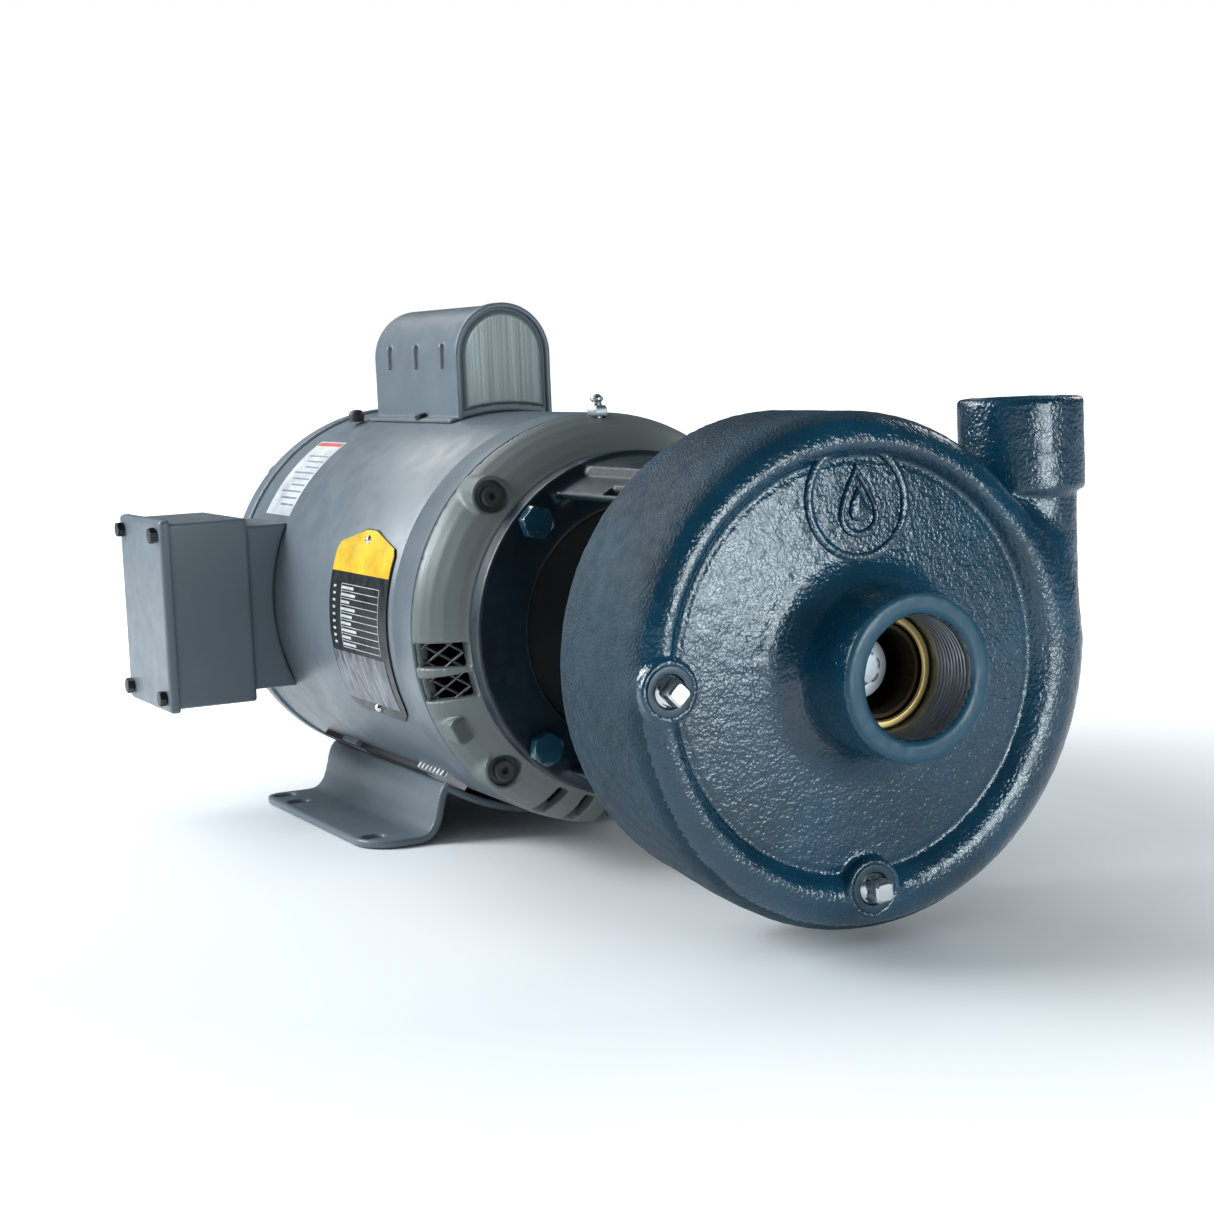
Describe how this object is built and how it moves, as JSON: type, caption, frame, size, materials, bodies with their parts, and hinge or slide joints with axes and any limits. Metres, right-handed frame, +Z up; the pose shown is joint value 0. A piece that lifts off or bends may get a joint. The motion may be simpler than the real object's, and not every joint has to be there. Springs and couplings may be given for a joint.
{
  "type": "centrifugal water pump",
  "caption": "Close-coupled end-suction centrifugal pump: spiral volute, open bracket and foot-mounted electric motor with conduit box.",
  "frame": {"origin": "centre of the whole pump's box, on the ground under the foot", "axes": "+Y along the shaft from the suction port towards the motor's rear end, +X towards the discharge neck's side, +Z up along the discharge"},
  "size_m": [0.2968, 0.5702, 0.2713],
  "materials": {
    "blue_cast_enamel": "glossy enamel over rough sand-cast iron",
    "blue_bolts": "glossy enamel over hex bolts",
    "bronze": "machined",
    "machined_steel": "machined",
    "bright_zinc": "bright zinc plate",
    "seal_carbon": "lapped carbon",
    "seal_ceramic": "lapped ceramic",
    "black_rubber": "matte",
    "lamination_steel": "stacked laminations",
    "enamelled_copper": "varnished copper wire",
    "cast_aluminium": "as cast",
    "grey_motor_paint": "satin blue-grey enamel",
    "grey_bell_casting": "satin grey enamel over a die casting",
    "dark_screws": "black oxide",
    "black_plastic": "moulded",
    "nameplate": "printed foil"
  },
  "bodies": {
    "frame": {"motor_shell": "grey_motor_paint", "front_bell": "grey_bell_casting", "rear_bell": "grey_motor_paint", "base_foot": "grey_motor_paint", "stator_core": "lamination_steel", "front_winding": "enamelled_copper", "rear_winding": "enamelled_copper", "through_bolt_1": "dark_screws", "through_bolt_2": "dark_screws", "through_bolt_3": "dark_screws", "through_bolt_4": "dark_screws", "front_bearing_outer_race": "machined_steel", "rear_bearing_outer_race": "machined_steel", "switch_plate": "black_plastic", "conduit_box": "grey_motor_paint", "conduit_lid": "grey_motor_paint", "lid_screw_1": "dark_screws", "lid_screw_2": "dark_screws", "lid_screw_3": "dark_screws", "lid_screw_4": "dark_screws", "terminal_board": "black_plastic", "capacitor_cover": "grey_motor_paint", "capacitor": "black_plastic", "grease_fitting": "bright_zinc", "shell_plug": "black_plastic", "nameplate": "nameplate", "bracket": "blue_cast_enamel", "bracket_bolt_1": "blue_bolts", "bracket_bolt_2": "blue_bolts", "bracket_bolt_3": "blue_bolts", "bracket_bolt_4": "blue_bolts", "casing_bolt_1": "blue_bolts", "casing_bolt_2": "blue_bolts", "casing_bolt_3": "blue_bolts", "casing_bolt_4": "blue_bolts", "casing_gasket": "black_rubber", "volute_casing": "blue_cast_enamel", "wear_ring": "bronze", "side_plug": "bright_zinc", "drain_plug": "bright_zinc", "seal_cup": "black_rubber", "seal_seat": "seal_ceramic"},
    "rotor": {"motor_shaft": "machined_steel", "rotor_core": "lamination_steel", "cooling_fan": "cast_aluminium", "front_bearing_inner_race": "machined_steel", "rear_bearing_inner_race": "machined_steel", "shaft_sleeve": "bronze", "slinger": "black_rubber", "seal_face": "seal_carbon", "seal_spring": "machined_steel", "impeller": "bronze", "impeller_key": "machined_steel", "impeller_washer": "bright_zinc", "impeller_screw": "bright_zinc"},
    "front_balls": {"front_bearing_ball_cage": "machined_steel"},
    "rear_balls": {"rear_bearing_ball_cage": "machined_steel"},
    "switch": {"switch_collar": "black_plastic"}
  },
  "joints": [
    {"name": "shaft_spin", "type": "hinge", "parent": "frame", "child": "rotor", "pos_m": [0.0188, -0.0529, 0.1143], "axis": [0, 1, 0], "continuous": true},
    {"name": "front_balls_spin", "type": "hinge", "parent": "frame", "child": "front_balls", "pos_m": [0.0188, -0.0259, 0.1143], "axis": [0, 1, 0], "continuous": true},
    {"name": "rear_balls_spin", "type": "hinge", "parent": "frame", "child": "rear_balls", "pos_m": [0.0188, 0.2546, 0.1143], "axis": [0, 1, 0], "continuous": true},
    {"name": "switch_slide", "type": "slide", "parent": "rotor", "child": "switch", "axis": [0, -1, 0], "range_m": [0, 0.003], "stiffness_N_per_m": 600, "springref_m": -0.003}
  ],
  "couplings": [
    {"joint": "front_balls_spin", "follows": "shaft_spin", "ratio": 0.406},
    {"joint": "rear_balls_spin", "follows": "shaft_spin", "ratio": 0.405}
  ]
}
